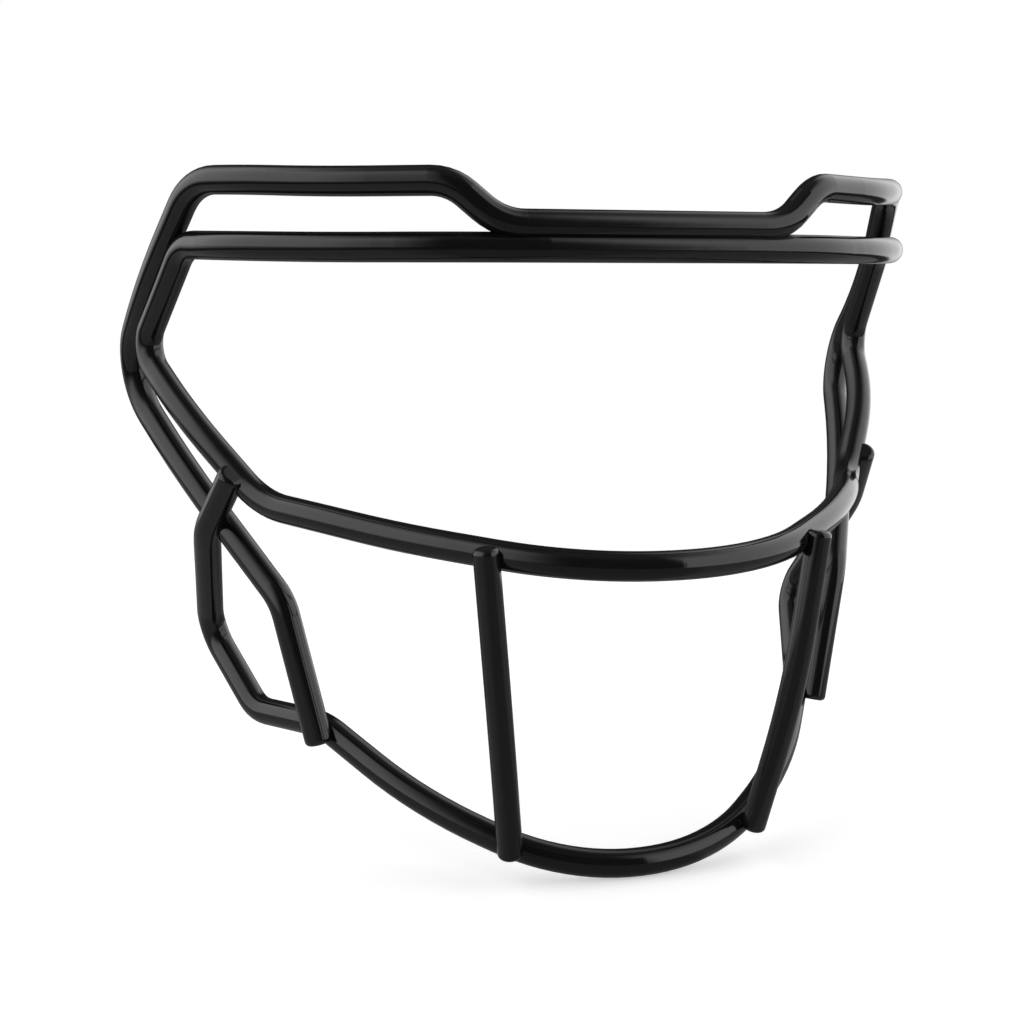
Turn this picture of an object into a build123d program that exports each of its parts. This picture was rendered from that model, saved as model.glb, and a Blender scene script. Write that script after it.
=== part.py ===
"""Football helmet facemask: five bent round wires, welded where they cross and dipped in black coating.

Lengths are in millimetres. +Z is up, the front faces -Y, and the wearer's left is +X. The mask is the
same on both sides, so each long wire is drawn on the wearer's right and mirrored. While the wires are
drawn, a place is given as out from the middle plane, back from the brow bar and up from it. The finished
origin is the middle of the whole mask.
"""

from build123d import *
import math
import os

os.makedirs("parts", exist_ok=True)

# Wire and coating
wire_diameter = 5.7
vertical_wire_diameter = 4.9
coating_thickness = 0.9
rim_radius = 1.4  # rounded rim of the coating at a wire's end
weld_set_down = 0.1  # how far two wires are pressed into each other at a weld
jaw_ring_set_down = 2.4  # the same where the jaw wire's top end is let into the eye ring
jaw_side_set_down = 1.8  # the same where it lies on the side wire
weld_radius = 2.2
jaw_weld_radius = 3.8
weld_cover = 0.3  # coating left over a weld
brow_weld_length = 9.0

# Eye ring: the brow bar's straight run, and then each bend's place from the bend before it
brow_straight_out = 45.5
brow_out_step, brow_back_step = 32.5, 20.5
turn_out_step, turn_back_step, turn_up_step = 19.0, 20.5, 0.5
corner_out_step, corner_back_step, corner_up_step = 8.0, 22.0, 0.5
temple_out_step, temple_back_step, temple_down_step = 7.5, 27.5, 28.5
cheek_in_step, cheek_forward_step, cheek_down_step = 8.0, 21.5, 17.0
cheek_corner_in_step, cheek_corner_forward_step, cheek_corner_down_step = 16.5, 19.5, 22.5
cheek_front_in_step, cheek_front_forward_step, cheek_front_down_step = 9.5, 16.5, 1.5
nose_side_in_step, nose_side_forward_step, nose_side_down_step = 17.5, 21.5, 3.5
nose_front_in_step, nose_front_forward_step, nose_front_down_step = 37.0, 33.5, 5.0
ring_corner_radius = 13.0
ring_temple_radius = 8.0
cheek_corner_radius = 25.0

# Brow and side wire: the dip on the brow bar, the raise over the eye, and then each bend's place from the
# ring's bend beside it
dip_out = 38.5
raise_out_step, raise_back_step, raise_up_step = 11.5, 4.0, 16.0
side_brow_inside, side_brow_behind, side_brow_above = 0.5, 1.0, 16.0
side_turn_inside, side_turn_ahead, side_turn_above = 3.0, 2.0, 16.5
side_corner_inside, side_corner_ahead, side_corner_above = 1.5, 7.0, 16.5
side_temple_inside, side_temple_ahead, side_temple_above = 0.5, 11.0, 18.5
side_rear_outside, side_rear_behind, side_rear_below = 3.0, 17.0, 7.0
side_cheek_inside, side_cheek_behind, side_cheek_below = 1.0, 10.0, 16.0
side_bend_inside, side_bend_ahead, side_bend_below = 4.5, 2.0, 26.0
dip_radius = 15.0
raise_radius = 13.0
side_corner_radius = 19.5
side_rear_radius = 16.0
side_bend_radius = 13.0

# Chin and jaw wire: its rear bend's place from the side wire's lower bend, and then each bend's from the bend
# before it
jaw_rear_outside, jaw_rear_behind, jaw_rear_below = 11.0, 47.0, 15.5
jaw_low_in_step, jaw_low_forward_step, jaw_low_down_step = 9.0, 21.5, 20.0
jaw_front_in_step, jaw_front_forward_step, jaw_front_up_step = 13.0, 24.0, 0.5
chin_side_in_step, chin_side_forward_step, chin_side_down_step = 19.5, 27.5, 16.5
chin_front_in_step, chin_front_forward_step, chin_front_down_step = 32.5, 22.5, 14.5
jaw_top_radius = 30.0
jaw_rear_radius = 9.5
jaw_low_radius = 11.5
jaw_front_radius = 20.0
jaw_top_overrun = 1.8  # past the eye ring
jaw_top_run = 2.8  # from the side wire down to the first bend

# Ends of the other wires, past what they are welded to
side_end_overrun = 0.5
vertical_top_overrun = 2.5
vertical_bottom_short = 0.6  # it stops this much before the middle of the chin wire
vertical_bow_forward = 3.5  # the bend point before it is rounded
vertical_bow_out = 1.0

# Where the wires cross, along half of the wire that carries the crossing
ring_jaw_share = 0.632  # from the middle of the brow bar to the middle of the nose bar
side_jaw_share = 0.107  # from the side wire's lower bend to the middle of the dip
jaw_side_share = 0.566  # from the jaw wire's top end to the middle of the chin
ring_vertical_share = 0.868
jaw_vertical_share = 0.844

# A bend without a radius of its own takes this much of the shorter run beside it
bend_run_share = 0.49

wire_radius = wire_diameter / 2
vertical_wire_radius = vertical_wire_diameter / 2
skin_radius = wire_radius + coating_thickness
vertical_skin_radius = vertical_wire_radius + coating_thickness
wire_pitch = wire_diameter - weld_set_down
jaw_ring_pitch = wire_diameter - jaw_ring_set_down
jaw_side_pitch = wire_diameter - jaw_side_set_down
vertical_pitch = wire_radius + vertical_wire_radius - weld_set_down


def place(out, back, up):
    """A point on the wearer's right."""
    return Vector(-out, back, up)


def run_length(start, end):
    """A run that ends on the middle plane goes on as far again beyond it."""
    on_middle = start.X == 0 or end.X == 0
    return (end - start).length * (2 if on_middle else 1)


def bent(points, radii):
    """A path of straight runs and bends; a radius of None is as large as the runs allow."""
    used = []
    for before, corner, after, radius in zip(points, points[1:], points[2:], radii):
        turn = math.radians((corner - before).get_angle(after - corner))
        shorter = min(run_length(before, corner), run_length(corner, after))
        largest = bend_run_share * shorter / math.tan(turn / 2)
        used.append(largest if radius is None else min(radius, largest))
    path = FilletPolyline(*points, radius=used).wire()
    if (path @ 0 - points[0]).length > (path @ 1 - points[0]).length:
        path = Wire([edge.reversed() for edge in path.order_edges()[::-1]])
    return path


def outward(path, share, along):
    """The direction away from the face, square to a carrying wire and to the wire that lies across it."""
    away = (path % share).cross(along).normalized()
    return away if away.dot(path @ share - face_centre) > 0 else -away


def to_middle_plane(point):
    """The place beside a point, in the middle plane."""
    return Vector(0, point.Y, point.Z)


# Bends of the eye ring
ring_straight = place(brow_straight_out, 0, 0)
ring_brow = ring_straight + place(brow_out_step, brow_back_step, 0)
ring_turn = ring_brow + place(turn_out_step, turn_back_step, turn_up_step)
ring_corner = ring_turn + place(corner_out_step, corner_back_step, corner_up_step)
ring_temple = ring_corner + place(temple_out_step, temple_back_step, -temple_down_step)
ring_cheek = ring_temple + place(-cheek_in_step, -cheek_forward_step, -cheek_down_step)
cheek_corner = ring_cheek + place(-cheek_corner_in_step, -cheek_corner_forward_step, -cheek_corner_down_step)
cheek_front = cheek_corner + place(-cheek_front_in_step, -cheek_front_forward_step, -cheek_front_down_step)
nose_side = cheek_front + place(-nose_side_in_step, -nose_side_forward_step, -nose_side_down_step)
nose_front = nose_side + place(-nose_front_in_step, -nose_front_forward_step, -nose_front_down_step)

# Bends of the brow and side wire
dip = place(dip_out, 0, wire_pitch)
raised = place(dip_out + raise_out_step, raise_back_step, raise_up_step)
side_brow = ring_brow + place(-side_brow_inside, side_brow_behind, side_brow_above)
side_turn = ring_turn + place(-side_turn_inside, -side_turn_ahead, side_turn_above)
side_corner = ring_corner + place(-side_corner_inside, -side_corner_ahead, side_corner_above)
side_temple = ring_temple + place(-side_temple_inside, -side_temple_ahead, side_temple_above)
side_rear = ring_temple + place(side_rear_outside, side_rear_behind, -side_rear_below)
side_cheek = ring_cheek + place(-side_cheek_inside, side_cheek_behind, -side_cheek_below)
side_bend = cheek_corner + place(-side_bend_inside, -side_bend_ahead, -side_bend_below)

# Bends of the chin and jaw wire
jaw_rear = side_bend + place(jaw_rear_outside, jaw_rear_behind, -jaw_rear_below)
jaw_low = jaw_rear + place(-jaw_low_in_step, -jaw_low_forward_step, -jaw_low_down_step)
jaw_front = jaw_low + place(-jaw_front_in_step, -jaw_front_forward_step, jaw_front_up_step)
chin_side = jaw_front + place(-chin_side_in_step, -chin_side_forward_step, -chin_side_down_step)
chin_front = chin_side + place(-chin_front_in_step, -chin_front_forward_step, -chin_front_down_step)

face_centre = Vector(0, side_rear.Y, cheek_corner.Z)

# Eye ring, from the middle of the brow bar round to the middle of the nose bar
ring_first_points = [to_middle_plane(ring_straight), ring_straight, ring_brow, ring_turn, ring_corner]
ring_next_points = [ring_temple, ring_cheek, cheek_corner, cheek_front]
ring_last_points = [nose_side, nose_front, to_middle_plane(nose_front)]
ring_half = bent(
    ring_first_points + ring_next_points + ring_last_points,
    [None, None, None, ring_corner_radius, ring_temple_radius, None, cheek_corner_radius, None, None, None],
)

# Brow and side wire from its lower bend up, which carries the jaw wire's top
side_upper_points = [side_bend, side_cheek, side_rear, side_temple, side_corner, side_turn, side_brow]
side_upper_points += [raised, dip, to_middle_plane(dip)]
side_upper_radii = [None, side_rear_radius, None, side_corner_radius, None, None, raise_radius, dip_radius]
side_upper = bent(side_upper_points, side_upper_radii)

# The jaw wire's top lies across the outside of the eye ring and the side wire
jaw_along = (side_upper @ side_jaw_share - ring_half @ ring_jaw_share).normalized()
for settle in range(4):
    ring_away = outward(ring_half, ring_jaw_share, jaw_along)
    side_away = outward(side_upper, side_jaw_share, jaw_along)
    jaw_on_ring = ring_half @ ring_jaw_share + ring_away * jaw_ring_pitch
    jaw_on_side = side_upper @ side_jaw_share + side_away * jaw_side_pitch
    jaw_along = (jaw_on_side - jaw_on_ring).normalized()


def jaw_path(beyond):
    """The jaw wire's half, its top end this much longer than the steel."""
    return bent(
        [
            jaw_on_ring - jaw_along * (jaw_top_overrun + beyond),
            jaw_on_side + jaw_along * jaw_top_run,
            jaw_rear,
            jaw_low,
            jaw_front,
            chin_side,
            chin_front,
            to_middle_plane(chin_front),
        ],
        [jaw_top_radius, jaw_rear_radius, jaw_low_radius, jaw_front_radius, None, None],
    )


jaw_half = jaw_path(0)

# The side wire's lower end lies across the outside of the jaw wire
side_along = (jaw_half @ jaw_side_share - side_bend).normalized()
for settle in range(4):
    side_on_jaw = jaw_half @ jaw_side_share + outward(jaw_half, jaw_side_share, side_along) * wire_pitch
    side_along = (side_on_jaw - side_bend).normalized()


def side_path(beyond):
    """The brow and side wire's half, its lower end this much longer than the steel."""
    lower_end = side_on_jaw + side_along * (side_end_overrun + beyond)
    return bent([lower_end, *side_upper_points], [side_bend_radius, *side_upper_radii])


side_half = side_path(0)

# The vertical wire lies across the outside of the nose bar and the chin
vertical_along = (jaw_half @ jaw_vertical_share - ring_half @ ring_vertical_share).normalized()
for settle in range(4):
    nose_away = outward(ring_half, ring_vertical_share, vertical_along)
    chin_away = outward(jaw_half, jaw_vertical_share, vertical_along)
    vertical_top = ring_half @ ring_vertical_share + nose_away * vertical_pitch
    vertical_bottom = jaw_half @ jaw_vertical_share + chin_away * vertical_pitch
    vertical_along = (vertical_bottom - vertical_top).normalized()


def vertical_path(beyond):
    """A wire bowed forward at its middle, its ends this much longer than the steel."""
    middle = (vertical_top + vertical_bottom) / 2 + place(vertical_bow_out, -vertical_bow_forward, 0)
    rise = (vertical_top - middle).normalized()
    fall = (vertical_bottom - middle).normalized()
    top_end = vertical_top + rise * (vertical_top_overrun + beyond)
    bottom_end = vertical_bottom + fall * (beyond - vertical_bottom_short)
    return bent([top_end, middle, bottom_end], [None])


# The origin is the middle of the mask: every extreme lies on a wire of the same thickness
extremes = [path.bounding_box() for path in (ring_half, side_half, jaw_half)]
low = Vector(0, min(box.min.Y for box in extremes), min(box.min.Z for box in extremes))
high = Vector(0, max(box.max.Y for box in extremes), max(box.max.Z for box in extremes))
to_middle = Location(-(low + high) / 2)


def rod(path, radius, rounded_ends=0):
    """A round rod along a path, with this many of its ends rounded at the rim."""
    centred = path.moved(to_middle)
    with BuildPart() as made:
        with BuildSketch(Plane(origin=centred @ 0, z_dir=centred % 0)):
            Circle(radius)
        sweep(path=centred)
        for end in [centred @ 0, centred @ 1][:rounded_ends]:
            end_face = made.faces().filter_by(GeomType.PLANE).sort_by_distance(end)[0]
            fillet(end_face.edges(), radius=min(rim_radius, coating_thickness + wire_radius / 2))
    return made.part


def ball(path, share, along, reach, radius):
    """A weld's outer limit, centred this far from the middle of the wire that carries the other."""
    away = outward(path, share, along)
    centre = path @ share + away * reach + to_middle.position
    with BuildPart(Plane(origin=centre, z_dir=away)) as made:
        Sphere(radius)
    return made.part


def both_sides(half):
    """A wire of two mirrored halves, joined in the middle plane."""
    with BuildPart() as made:
        add(half)
        mirror(about=Plane.YZ)
    return made.part


# Whole rods of steel, and the same with their coating, before they are cut to each other
ring_rod = both_sides(rod(ring_half, wire_radius))
side_rod = both_sides(rod(side_half, wire_radius))
jaw_rod = both_sides(rod(jaw_half, wire_radius))
vertical_rod = rod(vertical_path(0), vertical_wire_radius)
ring_skin = both_sides(rod(ring_half, skin_radius))
side_skin = both_sides(rod(side_path(coating_thickness), skin_radius, rounded_ends=1))
jaw_skin = both_sides(rod(jaw_path(coating_thickness), skin_radius, rounded_ends=1))
vertical_skin = rod(vertical_path(coating_thickness), vertical_skin_radius, rounded_ends=2)

# Steel wires: the carrying wire is whole, and the one pressed on it has the flat of the weld
with BuildPart() as eye_ring_wire:
    add(ring_rod)

with BuildPart() as brow_side_wire:
    add(side_rod)
    add(ring_rod, mode=Mode.SUBTRACT)

with BuildPart() as chin_jaw_wire:
    add(jaw_rod)
    add(ring_rod, mode=Mode.SUBTRACT)
    add(side_rod, mode=Mode.SUBTRACT)

with BuildPart() as right_vertical_wire:
    add(vertical_rod)
    add(ring_rod, mode=Mode.SUBTRACT)
    add(jaw_rod, mode=Mode.SUBTRACT)

with BuildPart() as left_vertical_wire:
    mirror(right_vertical_wire.part, about=Plane.YZ)

steel = {
    "eye_ring_wire": eye_ring_wire,
    "brow_side_wire": brow_side_wire,
    "chin_jaw_wire": chin_jaw_wire,
    "right_vertical_wire": right_vertical_wire,
    "left_vertical_wire": left_vertical_wire,
}

# Welds: filler round each contact, kept under the coating of the wire that lies across and cut by the wires
wire_contact = wire_pitch / 2
jaw_cover = rod(jaw_half, skin_radius - weld_cover)
side_cover = rod(side_half, skin_radius - weld_cover)
vertical_cover = rod(vertical_path(0), vertical_skin_radius - weld_cover)
weld_places = {
    "jaw_ring_weld": (ring_half, ring_jaw_share, jaw_along, jaw_ring_pitch / 2, jaw_weld_radius, jaw_cover),
    "jaw_side_weld": (side_upper, side_jaw_share, jaw_along, jaw_side_pitch / 2, jaw_weld_radius, jaw_cover),
    "side_end_weld": (jaw_half, jaw_side_share, side_along, wire_contact, weld_radius, side_cover),
    "nose_bar_weld": (
        ring_half, ring_vertical_share, vertical_along, wire_contact, weld_radius, vertical_cover
    ),
    "chin_weld": (
        jaw_half, jaw_vertical_share, vertical_along, wire_contact, weld_radius, vertical_cover
    ),
}

welds = {}
for weld_name, (*contact, cover) in weld_places.items():
    with BuildPart() as right_weld:
        add(ball(*contact))
        add(cover, mode=Mode.INTERSECT)
        for wire in steel.values():
            add(wire.part, mode=Mode.SUBTRACT)
    with BuildPart() as left_weld:
        mirror(right_weld.part, about=Plane.YZ)
    welds["right_" + weld_name] = right_weld
    welds["left_" + weld_name] = left_weld

# The dip is welded to the brow bar at its middle and near both ends, in front and behind
brow_weld_out = dip_out - dip_radius / 2 - brow_weld_length
brow_weld_places = {"right_brow_weld": -brow_weld_out, "middle_brow_weld": 0, "left_brow_weld": brow_weld_out}
for weld_name, across in brow_weld_places.items():
    middle = Vector(across, 0, wire_contact) + to_middle.position
    with BuildPart() as brow_weld:
        with BuildSketch(Plane(origin=middle, z_dir=(1, 0, 0))):
            Circle(weld_radius)
        extrude(amount=brow_weld_length / 2, both=True)
        add(eye_ring_wire.part, mode=Mode.SUBTRACT)
        add(brow_side_wire.part, mode=Mode.SUBTRACT)
    welds[weld_name] = brow_weld

# Coating: a sleeve on each wire, cut where it meets the steel, the welds and the sleeve of the carrying wire
skins = {
    "eye_ring_coating": (ring_skin, []),
    "brow_side_coating": (side_skin, [ring_skin]),
    "chin_jaw_coating": (jaw_skin, [ring_skin, side_skin]),
    "right_vertical_coating": (vertical_skin, [ring_skin, jaw_skin]),
}
coatings = {}
for coating_name, (skin, carriers) in skins.items():
    with BuildPart() as coating:
        add(skin)
        for carrier in carriers:
            add(carrier, mode=Mode.SUBTRACT)
        for inner in [*steel.values(), *welds.values()]:
            add(inner.part, mode=Mode.SUBTRACT)
    coatings[coating_name] = coating

with BuildPart() as left_vertical_coating:
    mirror(coatings["right_vertical_coating"].part, about=Plane.YZ)
coatings["left_vertical_coating"] = left_vertical_coating

for node_name, node in {**steel, **welds, **coatings}.items():
    node.part.label = node_name
    export_step(node.part, f"parts/{node_name}.step")
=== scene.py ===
"""A black dipped wire facemask on a pale floor, between two large soft lights, seen as in its photograph."""

import math

import bpy
from mathutils import Matrix, Vector


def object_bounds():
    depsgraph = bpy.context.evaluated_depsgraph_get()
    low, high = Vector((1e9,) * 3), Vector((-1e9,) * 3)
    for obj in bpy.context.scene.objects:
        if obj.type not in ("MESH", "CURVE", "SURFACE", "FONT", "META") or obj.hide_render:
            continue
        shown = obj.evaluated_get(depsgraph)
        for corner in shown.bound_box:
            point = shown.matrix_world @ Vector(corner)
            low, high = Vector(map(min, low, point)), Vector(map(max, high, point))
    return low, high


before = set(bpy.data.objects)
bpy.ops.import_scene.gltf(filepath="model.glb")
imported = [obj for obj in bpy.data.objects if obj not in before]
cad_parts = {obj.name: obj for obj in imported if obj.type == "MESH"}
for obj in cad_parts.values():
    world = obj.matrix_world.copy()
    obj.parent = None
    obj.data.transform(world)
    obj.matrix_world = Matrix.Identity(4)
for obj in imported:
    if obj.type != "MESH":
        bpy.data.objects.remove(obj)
cad_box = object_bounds()

# Camera: the photograph's place and direction, in the frame of the CAD model
CAMERA_PLACE = (-0.18215, -0.44683, 0.06471)
CAMERA_RIGHT = (0.94113, -0.33804, 0.00147)
CAMERA_UP = (0.04419, 0.12734, 0.99087)
SENSOR = 36.0
LENS = 61.87
NEAREST, FURTHEST = 0.01, 20.0

# Studio: each soft light is given by the compass angle from the front and the height angle of its edges, in
# degrees; a round corner has its middle across, its half width and its half height
LEFT_LIGHT = {"strength": 1.65, "across": (-178, -132, -76, -26), "height": (-15, 1, 50, 77)}
RIGHT_LIGHT = {
    "strength": 1.5,
    "across": (15, 20, 130, 152),
    "height": (-14, -12, 40, 74),
    "corner": (85, 59, 69),
}
CORNER_POWER = 3.0
CORNER_EDGE = (1.15, 0.85)
AMBIENT_FRONT = 0.05
AMBIENT_TOP = 0.15
AMBIENT_TOP_HEIGHT = (40, 75)
WHITE = (1, 1, 1, 1)

# Floor: in the coating's reflections it glows with painted light and shade, darker in front and behind than
# under the two lights
FLOOR_RADIUS = 0.5
FLOOR_STEPS = 96
FLOOR_COLOUR = (0.8, 0.8, 0.8, 1)
FLOOR_LIFT = 0.5
PAINTED_FLOOR_SHADE = 0.19
PAINTED_FLOOR_LIGHT = 0.34
PAINTED_LIGHT_LEFT = (-175, -140, -62, -30)
PAINTED_LIGHT_RIGHT = (24, 31, 105, 145)

# Coating: faint waves and fine orange peel, each a noise with the strength and the depth of its bumps
COATING_TONES = ((0.0045, 0.0045, 0.0046, 1), (0.0060, 0.0060, 0.0062, 1))
COATING_ROUGHNESS = (0.08, 0.12)
COATING_IOR = 1.5
WAVE_NOISE = {"Scale": 90.0, "Detail": 2.0}
WAVE_RANGE = (0.3, 0.7)
WAVE_BUMP = {"Strength": 0.3, "Distance": 0.00008}
PEEL_NOISE = {"Scale": 900.0, "Detail": 3.0}
PEEL_BUMP = {"Strength": 0.2, "Distance": 0.000004}

# Steel: bare drawn wire with fine streaks
STEEL_TONES = ((0.38, 0.38, 0.39, 1), (0.50, 0.50, 0.51, 1))
STEEL_ROUGHNESS = (0.28, 0.42)
STEEL_METAL = 1.0
GRAIN_NOISE = {"Scale": 400.0, "Detail": 4.0}
GRAIN_RANGE = (0.0, 1.0)


class Nodes:
    """A small helper that adds and links shader nodes."""

    def __init__(self, owner):
        self.tree = owner.node_tree
        self.tree.nodes.clear()

    def add(self, kind, inputs=None, **settings):
        node = self.tree.nodes.new(kind)
        for name, value in settings.items():
            setattr(node, name, value)
        for name, value in (inputs or {}).items():
            if isinstance(value, bpy.types.NodeSocket):
                self.tree.links.new(value, node.inputs[name])
            else:
                node.inputs[name].default_value = value
        return node

    def maths(self, operation, *values):
        return self.add("ShaderNodeMath", dict(enumerate(values)), operation=operation).outputs[0]

    def compass(self, place):
        """The angle from the front of a place or direction, in degrees."""
        parts = self.add("ShaderNodeSeparateXYZ", {"Vector": place}).outputs
        front = self.maths("SUBTRACT", 0.0, parts["Y"])
        return self.maths("DEGREES", self.maths("ARCTAN2", parts["X"], front))

    def smooth_step(self, value, start, end):
        ends = {"Value": value, "From Min": start, "From Max": end}
        return self.add("ShaderNodeMapRange", ends, interpolation_type="SMOOTHSTEP").outputs["Result"]

    def window(self, value, edges):
        """One between the middle two of four edges, fading to zero at the outer two."""
        start, full, fading, end = edges
        rise = self.smooth_step(value, start, full)
        fall = self.smooth_step(value, end, fading)
        return self.maths("MULTIPLY", rise, fall)

    def noise(self, where, settings):
        return self.add("ShaderNodeTexNoise", {"Vector": where, **settings}).outputs["Fac"]

    def spread(self, value, old, new):
        """The value, carried from an old range to a new one."""
        ends = {"From Min": old[0], "From Max": old[1], "To Min": new[0], "To Max": new[1]}
        return self.add("ShaderNodeMapRange", {"Value": value, **ends}).outputs["Result"]

    def tone(self, factor, colours):
        """A colour between two."""
        ends = {"Factor": factor, "A": colours[0], "B": colours[1]}
        return self.add("ShaderNodeMix", ends, data_type="RGBA").outputs["Result"]


def new_material(name):
    """An empty material and its nodes."""
    material = bpy.data.materials.new(name)
    material.use_nodes = True
    return material, Nodes(material)


def add_camera():
    """The camera that sees the mask as the photograph does."""
    data = bpy.data.cameras.new("camera")
    data.sensor_width = SENSOR
    data.lens = LENS
    data.clip_start, data.clip_end = NEAREST, FURTHEST
    camera = bpy.data.objects.new("camera", data)
    bpy.context.scene.collection.objects.link(camera)
    right, up = Vector(CAMERA_RIGHT).normalized(), Vector(CAMERA_UP).normalized()
    up = (up - right * up.dot(right)).normalized()
    turn = Matrix((right, up, right.cross(up))).transposed().to_4x4()
    camera.matrix_world = Matrix.Translation(CAMERA_PLACE) @ turn
    bpy.context.scene.camera = camera


def soft_light(sky, light, across, height):
    """The light's strength in the direction looked in, fading at its four edges."""
    total = light["strength"]
    for angle, edges in ((across, light["across"]), (height, light["height"])):
        total = sky.maths("MULTIPLY", total, sky.window(angle, edges))
    if "corner" in light:
        middle, half_width, half_height = light["corner"]
        off_middle = sky.maths("SUBTRACT", middle, across)
        beside = sky.maths("MAXIMUM", sky.maths("DIVIDE", off_middle, half_width), 0.0)
        above = sky.maths("MAXIMUM", sky.maths("DIVIDE", height, half_height), 0.0)
        reach = sky.maths("ADD", *(sky.maths("POWER", part, CORNER_POWER) for part in (beside, above)))
        total = sky.maths("MULTIPLY", total, sky.smooth_step(reach, *CORNER_EDGE))
    return total


def add_studio():
    """Two soft lights in a dim room, which the camera itself sees as white."""
    world = bpy.data.worlds.new("studio")
    world.use_nodes = True
    bpy.context.scene.world = world
    sky = Nodes(world)
    direction = sky.add("ShaderNodeTexCoord").outputs["Generated"]
    across = sky.compass(direction)
    rise = sky.add("ShaderNodeSeparateXYZ", {"Vector": direction}).outputs["Z"]
    height = sky.maths("DEGREES", sky.maths("ARCSINE", rise))
    top = sky.smooth_step(height, *AMBIENT_TOP_HEIGHT)
    studio = sky.maths("MULTIPLY_ADD", top, AMBIENT_TOP - AMBIENT_FRONT, AMBIENT_FRONT)
    for light in (LEFT_LIGHT, RIGHT_LIGHT):
        studio = sky.maths("ADD", studio, soft_light(sky, light, across, height))
    seen_directly = sky.add("ShaderNodeLightPath").outputs["Is Camera Ray"]
    white = sky.add("ShaderNodeBackground", {"Color": WHITE})
    lights = sky.add("ShaderNodeBackground", {"Color": WHITE, "Strength": studio})
    mixed = sky.add("ShaderNodeMixShader", {0: seen_directly, 1: lights.outputs[0], 2: white.outputs[0]})
    sky.add("ShaderNodeOutputWorld", {"Surface": mixed.outputs[0]})


def floor_material():
    """Matt and pale, lifted to white for the camera; in reflections it glows with painted light and shade
    instead.
    """
    material, paint = new_material("floor")
    rays = paint.add("ShaderNodeLightPath").outputs
    matt = paint.add("ShaderNodeBsdfDiffuse", {"Color": FLOOR_COLOUR})
    for_camera = paint.maths("MULTIPLY", rays["Is Camera Ray"], FLOOR_LIFT)
    lift = paint.add("ShaderNodeEmission", {"Strength": for_camera})
    both = paint.add("ShaderNodeAddShader", {0: matt.outputs[0], 1: lift.outputs[0]})
    compass = paint.compass(paint.add("ShaderNodeTexCoord").outputs["Object"])
    # Painted reflection: for glossy rays the floor glows, with painted shade in front and behind and painted
    # light under the two lights
    painted_glow = PAINTED_FLOOR_SHADE
    for edges in (PAINTED_LIGHT_LEFT, PAINTED_LIGHT_RIGHT):
        lit = paint.window(compass, edges)
        painted_glow = paint.maths("MULTIPLY_ADD", lit, PAINTED_FLOOR_LIGHT - PAINTED_FLOOR_SHADE, painted_glow)
    painted_reflection = paint.add("ShaderNodeEmission", {"Strength": painted_glow})
    in_gloss = {0: rays["Is Glossy Ray"], 1: both.outputs[0], 2: painted_reflection.outputs[0]}
    mixed = paint.add("ShaderNodeMixShader", in_gloss)
    paint.add("ShaderNodeOutputMaterial", {"Surface": mixed.outputs[0]})
    return material


def add_floor():
    """A round floor at the mask's lowest point."""
    mesh = bpy.data.meshes.new("floor")
    steps = [math.tau * k / FLOOR_STEPS for k in range(FLOOR_STEPS)]
    rim = [(FLOOR_RADIUS * math.cos(step), FLOOR_RADIUS * math.sin(step), 0) for step in steps]
    mesh.from_pydata(rim, [], [tuple(range(FLOOR_STEPS))])
    mesh.materials.append(floor_material())
    floor = bpy.data.objects.new("floor", mesh)
    floor.location.z = cad_box[0].z
    bpy.context.scene.collection.objects.link(floor)


def coating_material():
    """Gloss black dipped coating: faint waviness and fine orange peel, and slightly uneven gloss."""
    material, look = new_material("gloss_coating")
    where = look.add("ShaderNodeTexCoord").outputs["Object"]
    wave = look.noise(where, WAVE_NOISE)
    peel = look.noise(where, PEEL_NOISE)
    waves = look.add("ShaderNodeBump", {"Height": wave, **WAVE_BUMP})
    peels = look.add("ShaderNodeBump", {"Height": peel, **PEEL_BUMP, "Normal": waves.outputs[0]})
    surface = look.add(
        "ShaderNodeBsdfPrincipled",
        {
            "Base Color": look.tone(wave, COATING_TONES),
            "Roughness": look.spread(wave, WAVE_RANGE, COATING_ROUGHNESS),
            "IOR": COATING_IOR,
            "Normal": peels.outputs[0],
        },
    )
    look.add("ShaderNodeOutputMaterial", {"Surface": surface.outputs[0]})
    return material


def steel_material():
    """Bare drawn steel wire with fine streaks, seen only where the coating is cut away."""
    material, look = new_material("drawn_steel")
    grain = look.noise(look.add("ShaderNodeTexCoord").outputs["Object"], GRAIN_NOISE)
    surface = look.add(
        "ShaderNodeBsdfPrincipled",
        {
            "Base Color": look.tone(grain, STEEL_TONES),
            "Roughness": look.spread(grain, GRAIN_RANGE, STEEL_ROUGHNESS),
            "Metallic": STEEL_METAL,
        },
    )
    look.add("ShaderNodeOutputMaterial", {"Surface": surface.outputs[0]})
    return material


add_camera()
bpy.context.scene.view_settings.view_transform = "Standard"
add_studio()
add_floor()

coating, steel = coating_material(), steel_material()
for name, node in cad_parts.items():
    node.data.materials.clear()
    node.data.materials.append(coating if name.endswith("_coating") else steel)
